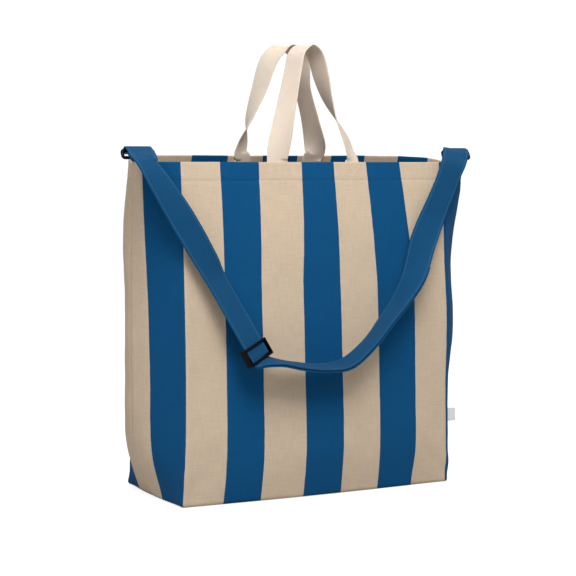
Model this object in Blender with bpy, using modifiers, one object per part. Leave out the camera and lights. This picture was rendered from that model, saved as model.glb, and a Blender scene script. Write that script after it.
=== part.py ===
"""Striped canvas tote bag with two webbing carry handles and an adjustable shoulder strap.

Metres, +Z up, the front faces -Y, and the origin is the centre of the base's underside.
Each sub-part is one closed solid. Soft parts are plain shells and strips of their real size.
"""

import math

import bmesh
import bpy
from mathutils import Matrix, Vector

# Bag body
BACK_RISE = 1.021           # the back panel stands this much taller than the front
CANVAS = 0.0016             # canvas with its turned edges
BASE_THICKNESS = 0.0018
GAP = 0.0004                # clearance between neighbouring solids
SEAM_HALF_SLIT = 0.0010     # each panel stops this far from the side seam
SIDE_SAMPLES = 3            # mesh steps per span on a side
FACE_SAMPLES = 12           # mesh steps across the front or back face
HEM_DEPTH = 0.025           # the hem's stitch line lies this far below the edge

# Each level of the body: height, depth position of the face centres, and then the points of
# the side outline as (x, y): front corner, end of the first side stripe, nose, side seam,
# start of the last side stripe, back corner.
LEVELS = (
    (0.0006, -0.106, 0.103, ((0.2100, -0.1000), (0.2135, -0.0420), (0.2140, -0.0200),
                             (0.2140, 0.0000), (0.2135, 0.0420), (0.2100, 0.1000))),
    (0.070, -0.116, 0.092, ((0.2060, -0.1020), (0.2325, -0.0475), (0.2395, -0.0290),
                            (0.2425, -0.0085), (0.2375, 0.0310), (0.2060, 0.0840))),
    (0.170, -0.113, 0.085, ((0.2045, -0.1015), (0.2355, -0.0500), (0.2435, -0.0320),
                            (0.2480, -0.0120), (0.2410, 0.0280), (0.2050, 0.0770))),
    (0.270, -0.108, 0.078, ((0.2045, -0.0990), (0.2385, -0.0495), (0.2475, -0.0320),
                            (0.2520, -0.0120), (0.2430, 0.0270), (0.2040, 0.0730))),
    (0.370, -0.099, 0.056, ((0.2035, -0.0920), (0.2485, -0.0530), (0.2585, -0.0370),
                            (0.2625, -0.0170), (0.2520, 0.0220), (0.2000, 0.0520))),
    (0.4645, -0.0825, 0.024, ((0.2030, -0.0835), (0.2575, -0.0695), (0.2690, -0.0570),
                              (0.2655, -0.0310), (0.2470, 0.0040), (0.1960, 0.0200))),
)
LEVEL_SAMPLES = 2

# Carry handles: centreline points, and the direction of the webbing's width as an angle
# about Z. The front handle's points run from its left end to its right end.
WEBBING_WIDTH = 0.031
WEBBING_THICKNESS = 0.0018
SEWN_LENGTH = 0.032
FRONT_HANDLE = (
    ((-0.0565, -0.0785, 0.4662), 0), ((-0.0465, -0.0750, 0.5090), -40),
    ((-0.0315, -0.0640, 0.5555), -60), ((-0.0190, -0.0550, 0.5930), -66),
    ((-0.0105, -0.0500, 0.6170), -66), ((0.0050, -0.0455, 0.6275), -65),
    ((0.0205, -0.0440, 0.6165), -68), ((0.0305, -0.0475, 0.5810), -74),
    ((0.0375, -0.0530, 0.5525), -92), ((0.0460, -0.0605, 0.5265), -116),
    ((0.0570, -0.0695, 0.5000), -136), ((0.0620, -0.0785, 0.4662), -180),
)
BACK_HANDLE = (
    ((-0.0620, 0.0195, 0.4758), -180), ((-0.0600, 0.0150, 0.5060), -140),
    ((-0.0545, 0.0125, 0.5270), -115), ((-0.0415, 0.0080, 0.5665), -92),
    ((-0.0262, 0.0030, 0.6115), -75), ((-0.0080, -0.0005, 0.6290), -70),
    ((0.0115, 0.0005, 0.6115), -70), ((0.0268, 0.0045, 0.5725), -72),
    ((0.0425, 0.0105, 0.5255), -62), ((0.0530, 0.0165, 0.4935), -35),
    ((0.0555, 0.0195, 0.4758), 0),
)
HANDLE_SAMPLES = 2
HANDLE_HINGE_RISE = 0.0010  # the fold line lies this far above the panel's edge
STITCH_BOX = 0.024          # side of the crossed stitch box
THREAD = 0.0012
THREAD_HEIGHT = 0.0005

# Rings at the two sides: the lower bar sits in the tab, the strap goes round the upper one
RING_X = 0.2515
RING_INNER_WIDTH = 0.041
RING_WIRE = 0.0036
TAB_BAR = (-0.0560, 0.4700)     # y, z
STRAP_BAR = (-0.0515, 0.4797)   # y, z
TAB_WIDTH = 0.024
TAB_X = 0.2455
TAB_PLY = 0.0012
TAB_LENGTH = 0.024
TAB_BAR_RADIUS = 0.0031         # middle of the tab's cloth round the bar
TAB_NECK = 0.007                # the plies run straight for this long under the bar
TAB_SQUEEZE = 0.0029            # and then the inner ply moves this much nearer the outer one
RING_BEND = 0.003               # radius of the ring's corners

# Shoulder strap: centreline points and width directions, left ring to right ring
STRAP_WIDTH = 0.038
STRAP_THICKNESS = 0.0022
STRAP_BAR_RADIUS = 0.0044       # middle of the strap's cloth round the ring's bar
PLY_SPACING = 0.0040            # between the middles of the two plies
SLIDER_CENTRE = Vector((-0.1145, -0.1350, 0.2095))
SLIDER_RUN = Vector((0.435, -0.220, -0.873))
SLIDER_ACROSS = Vector((0.860, 0.380, 0.333))
STRAIGHT_ABOVE = 0.112
STRAIGHT_BELOW = 0.018
STRAP_LEFT = (
    ((-0.2515, -0.0640, 0.4785), (1.00, 0.00, 0.00)),
    ((-0.2500, -0.0850, 0.4650), (0.98, 0.00, 0.18)),
    ((-0.2365, -0.0990, 0.4406), (0.92, 0.00, 0.40)),
    ((-0.2072, -0.1060, 0.3840), (0.89, 0.05, 0.43)),
    ((-0.1760, -0.1092, 0.3310), (0.88, 0.20, 0.40)),
)
STRAP_RIGHT = (
    ((-0.0975, -0.1415, 0.1895), (0.55, 0.82, 0.15)),
    ((-0.0830, -0.1420, 0.1905), (0.20, 0.97, 0.10)),
    ((-0.0580, -0.1410, 0.1890), (0.05, 0.99, 0.15)),
    ((-0.0181, -0.1395, 0.1833), (0.00, 0.97, 0.22)),
    ((0.0195, -0.1380, 0.1861), (-0.08, 0.93, 0.33)),
    ((0.0582, -0.1360, 0.2139), (-0.15, 0.93, 0.30)),
    ((0.0898, -0.1330, 0.2472), (-0.20, 0.94, 0.20)),
    ((0.1145, -0.1300, 0.2742), (-0.35, 0.88, 0.25)),
    ((0.1372, -0.1250, 0.3057), (-0.62, 0.70, 0.30)),
    ((0.1572, -0.1165, 0.3520), (-0.85, 0.35, 0.38)),
    ((0.1820, -0.1085, 0.3962), (-0.90, 0.10, 0.42)),
    ((0.2020, -0.1010, 0.4274), (-0.94, 0.00, 0.34)),
    ((0.2200, -0.0935, 0.4590), (-0.98, 0.00, 0.18)),
    ((0.2400, -0.0725, 0.4775), (-1.00, 0.00, 0.05)),
)
STRAP_SAMPLES = 2
LOOP_STEPS = 6
SEWN_LOOP_LENGTH = 0.026

# Slider: a frame with two end bars in front of the strap and a centre bar behind it
SLIDER_WIDTH = 0.049
SLIDER_LENGTH = 0.026
SLIDER_RAIL = 0.0045
SLIDER_BAR = 0.0048
SLIDER_BAR_THICKNESS = 0.0020
CENTRE_BAR = 0.0019                 # side of its square section
CENTRE_BAR_RADIUS = 0.0014          # its reach to a corner
SLIDER_LOOP_REACH = (0.0085, 0.0040)    # how far the folded cloth runs on past the bar

# Label in the right side seam
LABEL_HEIGHT = 0.020
LABEL_LENGTH = 0.030
LABEL_Z = 0.084
LABEL_THICKNESS = 0.0006

UP = Vector((0.0, 0.0, 1.0))

COLOURS = {
    "canvas": ((0.58, 0.47, 0.34), 0.90, 0.0),
    "webbing": ((0.78, 0.69, 0.56), 0.85, 0.0),
    "strap_canvas": ((0.016, 0.083, 0.206), 0.85, 0.0),
    "thread": ((0.70, 0.62, 0.49), 0.80, 0.0),
    "ring_metal": ((0.008, 0.009, 0.014), 0.35, 0.8),
    "slider_plastic": ((0.008, 0.009, 0.016), 0.45, 0.0),
    "label": ((0.85, 0.85, 0.83), 0.75, 0.0),
}


def clear_scene():
    for item in list(bpy.data.objects):
        bpy.data.objects.remove(item, do_unlink=True)


def new_collection(name):
    collection = bpy.data.collections.new(name)
    bpy.context.scene.collection.children.link(collection)
    return collection


def new_material(name, slot):
    colour, roughness, metallic = COLOURS[slot]
    material = bpy.data.materials.new(name + "_material")
    material.use_nodes = True
    shader = material.node_tree.nodes["Principled BSDF"]
    shader.inputs["Base Color"].default_value = (*colour, 1.0)
    shader.inputs["Roughness"].default_value = roughness
    shader.inputs["Metallic"].default_value = metallic
    return material


def add_object(name, mesh, slot, parent=None):
    """Put a mesh made in world coordinates in the tote's collection."""
    item = bpy.data.objects.new(name, mesh)
    item.data.materials.append(new_material(name, slot))
    PARTS.objects.link(item)
    if parent is not None:
        item.parent = parent
        item.matrix_parent_inverse = Matrix.Translation(parent.location).inverted()
    return item


def add_pivot(name, place):
    """An empty on a joint's axis, which carries the pieces that the joint moves."""
    pivot = bpy.data.objects.new(name, None)
    pivot.location = place
    pivot.empty_display_size = 0.02
    PARTS.objects.link(pivot)
    return pivot


def smooth(values, steps):
    """Points on a Catmull-Rom curve through the values, steps to each span."""
    points = [Vector(value) for value in values]
    points = [2 * points[0] - points[1], *points, 2 * points[-1] - points[-2]]
    result = []
    for a, b, c, d in zip(points, points[1:], points[2:], points[3:]):
        for step in range(steps):
            t = step / steps
            result.append(b + 0.5 * t * ((c - a) + t * ((2 * a - 5 * b + 4 * c - d)
                                                        + t * (3 * b - a - 3 * c + d))))
    result.append(points[-2])
    return result


def grid_mesh(name, rows):
    """An open quad surface through rows of points."""
    mesh = bpy.data.meshes.new(name)
    width = len(rows[0])
    vertices = [point for row in rows for point in row]
    faces = []
    for r in range(len(rows) - 1):
        for c in range(width - 1):
            corner = r * width + c
            faces.append((corner, corner + 1, corner + width + 1, corner + width))
    mesh.from_pydata([tuple(v) for v in vertices], [], faces)
    mesh.shade_smooth()
    mesh.set_sharp_from_angle(angle=math.radians(40))
    return mesh


def thicken(item, thickness, offset):
    """Turn an open surface into a closed shell."""
    solidify = item.modifiers.new("thickness", "SOLIDIFY")
    solidify.thickness = thickness
    solidify.offset = offset
    solidify.use_even_offset = True
    return item


# ---- bag body -------------------------------------------------------------------------------

def body_levels():
    """All heights of the body: (z, front face y, back face y, six side points)."""
    packed = []
    for z, front_y, back_y, side in LEVELS:
        packed.append([z, front_y, back_y, *[value for point in side for value in point]])
    splines = []
    for first in range(0, len(packed[0]), 3):
        splines.append(smooth([row[first:first + 3] for row in packed], LEVEL_SAMPLES))
    levels = []
    for parts in zip(*splines):
        row = [value for part in parts for value in part]
        side = [(row[i], row[i + 1]) for i in range(3, len(row), 2)]
        levels.append((row[0], row[1], row[2], side))
    return levels


def half_side(side, front):
    """A side's outline from the face's corner to just short of the seam."""
    curve = smooth([(x, y, 0.0) for x, y in side], SIDE_SAMPLES)
    seam = 3 * SIDE_SAMPLES
    points = curve[:seam + 1] if front else curve[seam:][::-1]
    last = points[-1] - points[-2]
    points[-1] = points[-1] - last.normalized() * SEAM_HALF_SLIT
    return points


def panel_row(level, front):
    """One height of a panel, from the left seam across the face to the right seam."""
    z, front_y, back_y, side = level
    right = half_side(side, front)
    corner = right[0]
    face_y = front_y if front else back_y
    face = []
    for step in range(1, FACE_SAMPLES):
        t = 2 * step / FACE_SAMPLES - 1
        face.append(Vector((t * corner.x, face_y + (corner.y - face_y) * t * t, 0.0)))
    left = [Vector((-p.x, p.y, 0.0)) for p in reversed(right)]
    row = left + face + right
    for point in row:
        share = min(1.0, max(0.0, (point.y - side[3][1]) / (side[5][1] - side[3][1])))
        rise = 1.0 + (BACK_RISE - 1.0) * (0.0 if front else share)
        point.z = z * rise
    return row


def add_panel(name, front):
    rows = [panel_row(level, front) for level in body_levels()]
    panel = add_object(name, grid_mesh(name, rows), "canvas")
    return thicken(panel, CANVAS, -1.0 if front else 1.0)


def add_base_panel():
    """The flat bottom, a little smaller than the walls that stand round it."""
    front = panel_row(body_levels()[0], True)
    back = panel_row(body_levels()[0], False)
    inset = CANVAS + 4 * GAP
    outline = []
    for point in front + back[::-1]:
        x = math.copysign(max(0.0, abs(point.x) - inset), point.x)
        y = math.copysign(max(0.0, abs(point.y) - inset), point.y)
        outline.append((x, y, 0.0))
    shape = bmesh.new()
    bottom = shape.faces.new([shape.verts.new(p) for p in outline])
    bmesh.ops.recalc_face_normals(shape, faces=[bottom])
    mesh = bpy.data.meshes.new("base_panel")
    shape.to_mesh(mesh)
    shape.free()
    panel = add_object("base_panel", mesh, "canvas")
    facing = mesh.polygons[0].normal.z
    return thicken(panel, BASE_THICKNESS, -1.0 if facing < 0 else 1.0)


def add_seam_binding(name, side):
    """The bound seam allowance, which stands inwards from the side seam."""
    reach = 0.010
    stations = []
    for z, _, _, outline in body_levels():
        x, y = outline[3]
        inner = x - CANVAS - 3 * GAP
        z = min(max(z, 3 * BASE_THICKNESS), LEVELS[-1][0] - 0.004)
        stations.append((Vector((side * (inner - reach / 2), y, z)), Vector((side, 0.0, 0.0))))
    add_strip(name, stations, reach, 0.0012, "strap_canvas")


def add_hem_stitching(name, front):
    """A line of thread across the outside of a face, below its top edge."""
    below, level = body_levels()[-2:]
    share = HEM_DEPTH / (level[0] - below[0])
    points = []
    downs = []
    for low, high in zip(panel_row(below, front), panel_row(level, front)):
        points.append(high.lerp(low, share))
        downs.append((low - high).normalized())
    rows = []
    corner = (len(points) - FACE_SAMPLES + 1) // 2
    for index in range(corner, len(points) - corner):
        down = downs[index]
        before = (points[index] - points[index - 1]).normalized()
        after = (points[index + 1] - points[index]).normalized()
        out = (before + after).cross(-down if front else down).normalized()
        middle = points[index] + out * (2 * GAP + THREAD_HEIGHT / 2)
        rows.append([middle - down * THREAD / 2, middle + down * THREAD / 2])
    item = add_object(name, grid_mesh(name, rows), "thread")
    return thicken(item, THREAD_HEIGHT, 0.0)


# ---- strips ---------------------------------------------------------------------------------

def add_strip(name, stations, width, thickness, slot, parent=None):
    """A flat strip along stations of (centre, direction of its width)."""
    rows = [[c - w * width / 2, c + w * width / 2] for c, w in stations]
    return thicken(add_object(name, grid_mesh(name, rows), slot, parent), thickness, 0.0)


def square_up(centres, widths):
    """Make each width direction square to the route."""
    stations = []
    for index, (centre, width) in enumerate(zip(centres, widths)):
        ahead = centres[min(index + 1, len(centres) - 1)]
        behind = centres[max(index - 1, 0)]
        run = (ahead - behind).normalized()
        stations.append((centre, (width - run * width.dot(run)).normalized()))
    return stations


def handle_stations(points):
    centres = smooth([p for p, _ in points], HANDLE_SAMPLES)
    turns = smooth([(math.radians(a), 0.0, 0.0) for _, a in points], HANDLE_SAMPLES)
    widths = [Vector((math.cos(t.x), math.sin(t.x), 0.0)) for t in turns]
    return square_up(centres, widths)


def wall_frame(x, drop, front):
    """A point on a face, drop below its top edge, with its outward and down directions."""
    below, level = body_levels()[-2:]
    share = drop / (level[0] - below[0])
    points = []
    for z, front_y, back_y, side in (level, below):
        corner = Vector(side[0] if front else side[5])
        face_y = front_y if front else back_y
        y = face_y + (corner.y - face_y) * (x / corner.x) ** 2
        points.append(Vector((x, y, z * (1.0 if front else BACK_RISE))))
    down = (points[1] - points[0]).normalized()
    out = Vector((-1.0 if front else 1.0, 0.0, 0.0)).cross(down).normalized()
    return points[0].lerp(points[1], share), out, down


def add_handle_end(name, x, front):
    """The end of a handle, sewn flat against the inside of the panel under the edge."""
    top, out, down = wall_frame(x, 0.001, front)
    depth = CANVAS + 2 * GAP + WEBBING_THICKNESS / 2
    start = top - out * depth
    across = Vector((1.0, 0.0, 0.0))
    stations = [(start + down * SEWN_LENGTH * step / 4, across) for step in range(5)]
    add_strip(name, stations, WEBBING_WIDTH, WEBBING_THICKNESS, "webbing")


def add_box_stitch(name, x, front):
    """A square of thread with a cross in it, on the outside of the panel."""
    centre, out, down = wall_frame(x, 0.0045 + STITCH_BOX / 2, front)
    half = STITCH_BOX / 2
    inner = half - THREAD
    arm = THREAD * 0.75
    outlines = [[(-half, -half), (half, -half), (half, half), (-half, half)]]
    for turn in range(4):
        corners = ((arm - inner, inner), (inner - arm, inner), (0.0, arm))
        angle = turn * math.pi / 2
        outlines.append([(px * math.cos(angle) - py * math.sin(angle),
                          px * math.sin(angle) + py * math.cos(angle)) for px, py in corners])
    curve = bpy.data.curves.new(name, "CURVE")
    curve.dimensions = "2D"
    curve.fill_mode = "BOTH"
    curve.extrude = THREAD_HEIGHT / 2
    for outline in outlines:
        spline = curve.splines.new("POLY")
        spline.points.add(len(outline) - 1)
        for point, (px, py) in zip(spline.points, outline):
            point.co = (px, py, 0.0, 1.0)
        spline.use_cyclic_u = True
    across = down.cross(out)
    middle = centre + out * (4 * GAP + THREAD_HEIGHT * 1.5)
    place = Matrix((across, -down, out)).transposed().to_4x4()
    place.translation = middle
    add_curve(name, curve, place, "thread")


def add_curve(name, curve, place, slot, parent=None):
    """Turn a curve into a closed mesh and add it where place says."""
    guide = bpy.data.objects.new(name + "_guide", curve)
    PARTS.objects.link(guide)
    bpy.context.view_layer.update()
    evaluated = guide.evaluated_get(bpy.context.evaluated_depsgraph_get())
    mesh = bpy.data.meshes.new_from_object(evaluated)
    bpy.data.objects.remove(guide, do_unlink=True)
    mesh.transform(place)
    shape = bmesh.new()
    shape.from_mesh(mesh)
    bmesh.ops.remove_doubles(shape, verts=shape.verts, dist=0.00001)
    bmesh.ops.recalc_face_normals(shape, faces=shape.faces)
    shape.to_mesh(mesh)
    shape.free()
    mesh.name = name
    mesh.materials.clear()
    return add_object(name, mesh, slot, parent)


def add_handles():
    for name, points, front in (("front_handle", FRONT_HANDLE, True),
                                ("back_handle", BACK_HANDLE, False)):
        edge, _, _ = wall_frame(0.0, 0.0, front)
        pivot = add_pivot(name + "_fold", (0.0, edge.y, edge.z + HANDLE_HINGE_RISE))
        add_strip(name, handle_stations(points), WEBBING_WIDTH, WEBBING_THICKNESS,
                  "webbing", pivot)
        ends = (("left", points[0][0][0]), ("right", points[-1][0][0]))
        for side, x in ends:
            add_handle_end(f"{name}_{side}_end", x, front)
            add_box_stitch(f"{name}_{side}_stitching", x, front)


# ---- rings, tabs and strap ------------------------------------------------------------------

def ring_outline(side):
    """The wire's middle line: a rectangle with round corners, from bar to bar."""
    lower = Vector((side * RING_X, *TAB_BAR))
    upper = Vector((side * RING_X, *STRAP_BAR))
    up = (upper - lower).normalized()
    reach = (RING_INNER_WIDTH + RING_WIRE) / 2 - RING_BEND
    outline = []
    for end, cx, cz, angle in ((lower, 1, 1, -90), (upper, 1, -1, 0),
                               (upper, -1, -1, 90), (lower, -1, 1, 180)):
        for turn in (0, 45, 90):
            a = math.radians(angle + turn)
            across = cx * reach + RING_BEND * math.cos(a)
            along = RING_BEND * (math.sin(a) + cz)
            outline.append(end + Vector((across, 0.0, 0.0)) + up * along)
    return outline


def add_ring(name, side):
    """A rectangle of round wire with its long bars along X."""
    corners = ring_outline(side)
    curve = bpy.data.curves.new(name, "CURVE")
    curve.dimensions = "3D"
    curve.bevel_depth = RING_WIRE / 2
    curve.bevel_resolution = 2
    spline = curve.splines.new("POLY")
    spline.points.add(len(corners) - 1)
    for point, corner in zip(spline.points, corners):
        point.co = (*corner, 1.0)
    spline.use_cyclic_u = True
    pivot = add_pivot(name + "_swivel", (side * RING_X, *TAB_BAR))
    ring = add_curve(name, curve, Matrix.Identity(4), "ring_metal", pivot)
    ring.data.shade_smooth()
    return pivot


def around_bar(centre, radius, start, turn, steps, x):
    """Points round a bar along X; angles in degrees, 0 towards +Y and 90 up."""
    points = []
    for step in range(steps + 1):
        a = math.radians(start + turn * step / steps)
        points.append(Vector((x, centre[0] + radius * math.cos(a),
                              centre[1] + radius * math.sin(a))))
    return points


def add_tab(name, side):
    """A folded strip whose two plies hang inside the wall and hold the ring's lower bar."""
    x = side * TAB_X
    loop = around_bar(TAB_BAR, TAB_BAR_RADIUS, 180, -180, LOOP_STEPS, x)
    front = loop[0] - UP * TAB_LENGTH
    squeeze = Vector((0.0, TAB_SQUEEZE, 0.0))
    neck = UP * TAB_NECK
    centres = [front, loop[0] - neck, *loop, loop[-1] - neck - squeeze,
               loop[-1] - UP * TAB_LENGTH - squeeze]
    across = Vector((1.0, 0.0, 0.0))
    add_strip(name, [(c, across) for c in centres], TAB_WIDTH, TAB_PLY, "strap_canvas")
    inside = centres[-1].y + TAB_PLY / 2 + GAP
    add_bar(f"{name}_stitching", (x, inside + THREAD_HEIGHT / 2, loop[0].z - 0.018),
            (TAB_WIDTH * 0.8, THREAD_HEIGHT, 0.010), "thread")


def add_bar(name, centre, size, slot):
    bpy.ops.mesh.primitive_cube_add(size=1.0, location=centre)
    mesh = bpy.context.object.data
    placed = Matrix.Translation(centre) @ Matrix.Diagonal((*size, 1.0))
    bpy.data.objects.remove(bpy.context.object, do_unlink=True)
    mesh.transform(placed)
    return add_object(name, mesh, slot)


def straight_run():
    """The part of the strap that the slider can travel on."""
    across = SLIDER_ACROSS.normalized()
    run = SLIDER_RUN.normalized()
    shares = (-1.0, -0.66, -0.33, 0.0)
    centres = [SLIDER_CENTRE + run * STRAIGHT_ABOVE * share for share in shares]
    centres += [SLIDER_CENTRE + run * STRAIGHT_BELOW * share for share in (0.5, 1.0)]
    return [(centre, across) for centre in centres]


def strap_route():
    """The strap's stations between its two ring loops."""
    points = [*STRAP_LEFT, *straight_run(), *STRAP_RIGHT]
    centres = smooth([p for p, _ in points], STRAP_SAMPLES)
    widths = smooth([w for _, w in points], STRAP_SAMPLES)
    return square_up(centres, widths)


def shifted(stations, distance):
    """The same route moved square to the cloth, to its back when distance is positive."""
    moved = []
    for index, (centre, width) in enumerate(stations):
        ahead = stations[min(index + 1, len(stations) - 1)][0]
        behind = stations[max(index - 1, 0)][0]
        face = (ahead - behind).normalized().cross(width).normalized()
        moved.append((centre - face * distance, width))
    return moved


def cut_to_length(stations, length):
    """The first stretch of a route, this long."""
    kept = [stations[0]]
    walked = 0.0
    for (a, _), (b, width) in zip(stations, stations[1:]):
        walked += (b - a).length
        kept.append((b, width))
        if walked >= length:
            break
    return kept


def add_strap(ring_pivot):
    """The long ply with its loops round both rings, and the ply that returns to the slider."""
    route = strap_route()
    left = Vector((1.0, 0.0, 0.0))
    left_loop = around_bar(STRAP_BAR, STRAP_BAR_RADIUS, 290, 190, LOOP_STEPS, -RING_X)
    right_loop = around_bar(STRAP_BAR, STRAP_BAR_RADIUS, 120, -190, LOOP_STEPS, RING_X)
    under = shifted(cut_to_length(route, SEWN_LOOP_LENGTH), PLY_SPACING)
    main = [*reversed(under), *[(p, left) for p in left_loop], *route,
            *[(p, -left) for p in right_loop]]
    pivot = add_pivot("shoulder_strap_swing", (-RING_X, *STRAP_BAR))
    pivot.parent = ring_pivot
    pivot.matrix_parent_inverse = Matrix.Translation(ring_pivot.location).inverted()
    add_strip("shoulder_strap", main, STRAP_WIDTH, STRAP_THICKNESS, "strap_canvas", pivot)
    add_strip("strap_loop_stitching", loop_stitching(route), STRAP_WIDTH * 0.8,
              THREAD_HEIGHT, "thread", pivot)
    return_ply = shifted(route, PLY_SPACING)
    first = next(i for i, (c, _) in enumerate(return_ply) if c.z < slider_loop_end().z)
    add_strip("strap_return_ply", return_ply[first + 1:], STRAP_WIDTH, STRAP_THICKNESS,
              "strap_canvas", pivot)
    return pivot


def loop_stitching(route):
    """A patch of thread on the strap's face where its loop end is sewn down."""
    face = shifted(route, -(STRAP_THICKNESS / 2 + 3 * GAP + THREAD_HEIGHT / 2))
    return face[2:5]


def slider_frame():
    run = SLIDER_RUN.normalized()
    across = (SLIDER_ACROSS - run * SLIDER_ACROSS.dot(run)).normalized()
    face = run.cross(across).normalized()
    return run, across, face


def slider_loop_end():
    """Where the cloth sewn round the centre bar meets the returning ply."""
    run, _, face = slider_frame()
    return SLIDER_CENTRE + run * 0.020 - face * PLY_SPACING


def slider_levels():
    """Distances from the strap's middle along its face: frame front, centre bar, frame back."""
    half_strap = STRAP_THICKNESS / 2 + GAP
    centre_bar = -(half_strap + GAP + CENTRE_BAR_RADIUS + STRAP_THICKNESS + GAP)
    return half_strap + SLIDER_BAR_THICKNESS, centre_bar, centre_bar - CENTRE_BAR_RADIUS


def slider_boxes():
    """Centre and size of the rails, end bars and centre bar: across, along and face."""
    front, centre_bar, back = slider_levels()
    end = (SLIDER_LENGTH - SLIDER_BAR) / 2
    side = (SLIDER_WIDTH - SLIDER_RAIL) / 2
    bar_width = SLIDER_WIDTH - SLIDER_RAIL / 2
    rail_size = (SLIDER_RAIL, SLIDER_LENGTH, front - back)
    end_size = (bar_width, SLIDER_BAR, SLIDER_BAR_THICKNESS)
    face = front - SLIDER_BAR_THICKNESS / 2
    return [((-side, 0.0, (front + back) / 2), rail_size),
            ((side, 0.0, (front + back) / 2), rail_size),
            ((0.0, -end, face), end_size),
            ((0.0, end, face), end_size),
            ((0.0, 0.0, centre_bar), (bar_width, CENTRE_BAR, CENTRE_BAR))]


def box_mesh(name, centre, size, place):
    shape = bmesh.new()
    box = Matrix.Translation(centre) @ Matrix.Diagonal((*size, 1.0))
    bmesh.ops.create_cube(shape, size=1.0, matrix=place @ box)
    mesh = bpy.data.meshes.new(name)
    shape.to_mesh(mesh)
    shape.free()
    return mesh


def join_to(item, mesh):
    """Unite another closed mesh with an object."""
    cutter = bpy.data.objects.new(mesh.name, mesh)
    cutter.hide_render = True
    cutter.display_type = "WIRE"
    GUIDES.objects.link(cutter)
    join = item.modifiers.new("join", "BOOLEAN")
    join.operation = "UNION"
    join.solver = "EXACT"
    join.object = cutter


def add_slider(strap_pivot):
    """A frame of two rails, two end bars and a centre bar, on the strap."""
    run, across, face = slider_frame()
    pivot = add_pivot("strap_slider_slide", SLIDER_CENTRE)
    pivot.parent = strap_pivot
    pivot.matrix_parent_inverse = Matrix.Translation(strap_pivot.location).inverted()
    place = Matrix((across, run, face)).transposed().to_4x4()
    place.translation = SLIDER_CENTRE
    first, *others = slider_boxes()
    slider = add_object("strap_slider", box_mesh("strap_slider", *first, place),
                        "slider_plastic", pivot)
    for index, box in enumerate(others):
        join_to(slider, box_mesh(f"slider_bar_{index}", *box, place))
    return pivot


def add_slider_loop(slider_pivot):
    """The end of the strap, folded round the slider's centre bar."""
    run, across, face = slider_frame()
    radius = CENTRE_BAR_RADIUS + GAP + STRAP_THICKNESS / 2
    centre = SLIDER_CENTRE + face * slider_levels()[1]
    bend = []
    for step in range(LOOP_STEPS + 1):
        a = math.radians(90 + 180 * step / LOOP_STEPS)
        bend.append(centre + run * radius * math.cos(a) + face * radius * math.sin(a))
    upper = [bend[0] + run * reach for reach in SLIDER_LOOP_REACH]
    lower = [bend[-1] + run * reach for reach in reversed(SLIDER_LOOP_REACH)]
    add_strip("slider_loop", [(p, across) for p in (*upper, *bend, *lower)],
              STRAP_WIDTH, STRAP_THICKNESS, "strap_canvas", slider_pivot)


def add_label():
    """A small woven flag label caught in the right side seam."""
    top = LABEL_Z + LABEL_HEIGHT / 2
    below = max((level for level in body_levels() if level[0] <= top), key=lambda level: level[0])
    above = min((level for level in body_levels() if level[0] > top), key=lambda level: level[0])
    share = (top - below[0]) / (above[0] - below[0])
    seam_x, seam_y = (low + (high - low) * share for low, high in zip(below[3][3], above[3][3]))
    start = seam_x + 2 * GAP
    add_bar("side_label", (start + LABEL_LENGTH / 2, seam_y, LABEL_Z),
            (LABEL_LENGTH, LABEL_THICKNESS, LABEL_HEIGHT), "label")


clear_scene()
PARTS = new_collection("striped_tote_bag")
GUIDES = new_collection("cutters")
add_panel("front_panel", True)
add_panel("back_panel", False)
add_base_panel()
for side_name, sign in (("left", -1), ("right", 1)):
    add_seam_binding(f"{side_name}_seam_binding", sign)
    add_tab(f"{side_name}_ring_tab", sign)
add_hem_stitching("front_hem_stitching", True)
add_hem_stitching("back_hem_stitching", False)
add_handles()
left_pivot = add_ring("left_ring", -1)
add_ring("right_ring", 1)
swing = add_strap(left_pivot)
slide = add_slider(swing)
add_slider_loop(slide)
add_label()
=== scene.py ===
"""The looks of the striped canvas tote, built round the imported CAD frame.

Metres, +Z up, the front faces -Y. The cloth of each panel is addressed by s, the distance
along the cloth from the panel's middle, and z, its height above the base.
"""

import math

import bmesh
import bpy
import numpy as np
from mathutils import Matrix, Vector, noise

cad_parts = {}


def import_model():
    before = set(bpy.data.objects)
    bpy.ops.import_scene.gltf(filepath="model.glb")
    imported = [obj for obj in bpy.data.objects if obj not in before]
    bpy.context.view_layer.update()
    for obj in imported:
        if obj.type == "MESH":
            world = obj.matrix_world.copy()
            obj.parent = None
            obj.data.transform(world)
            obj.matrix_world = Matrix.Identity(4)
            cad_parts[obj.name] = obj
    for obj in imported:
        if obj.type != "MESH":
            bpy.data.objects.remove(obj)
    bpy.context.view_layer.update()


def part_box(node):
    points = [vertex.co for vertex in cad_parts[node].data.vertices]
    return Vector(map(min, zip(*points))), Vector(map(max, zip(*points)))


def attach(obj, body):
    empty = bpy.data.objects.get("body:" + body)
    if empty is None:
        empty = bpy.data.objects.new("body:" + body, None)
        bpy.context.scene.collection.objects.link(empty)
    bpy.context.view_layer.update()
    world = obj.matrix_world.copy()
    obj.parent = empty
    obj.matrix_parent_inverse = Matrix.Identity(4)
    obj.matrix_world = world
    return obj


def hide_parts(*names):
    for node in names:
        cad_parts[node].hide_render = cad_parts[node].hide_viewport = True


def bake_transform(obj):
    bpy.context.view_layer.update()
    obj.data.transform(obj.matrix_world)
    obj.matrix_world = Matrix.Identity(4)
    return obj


# ---- sizes, in metres -----------------------------------------------------------------------

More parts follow.
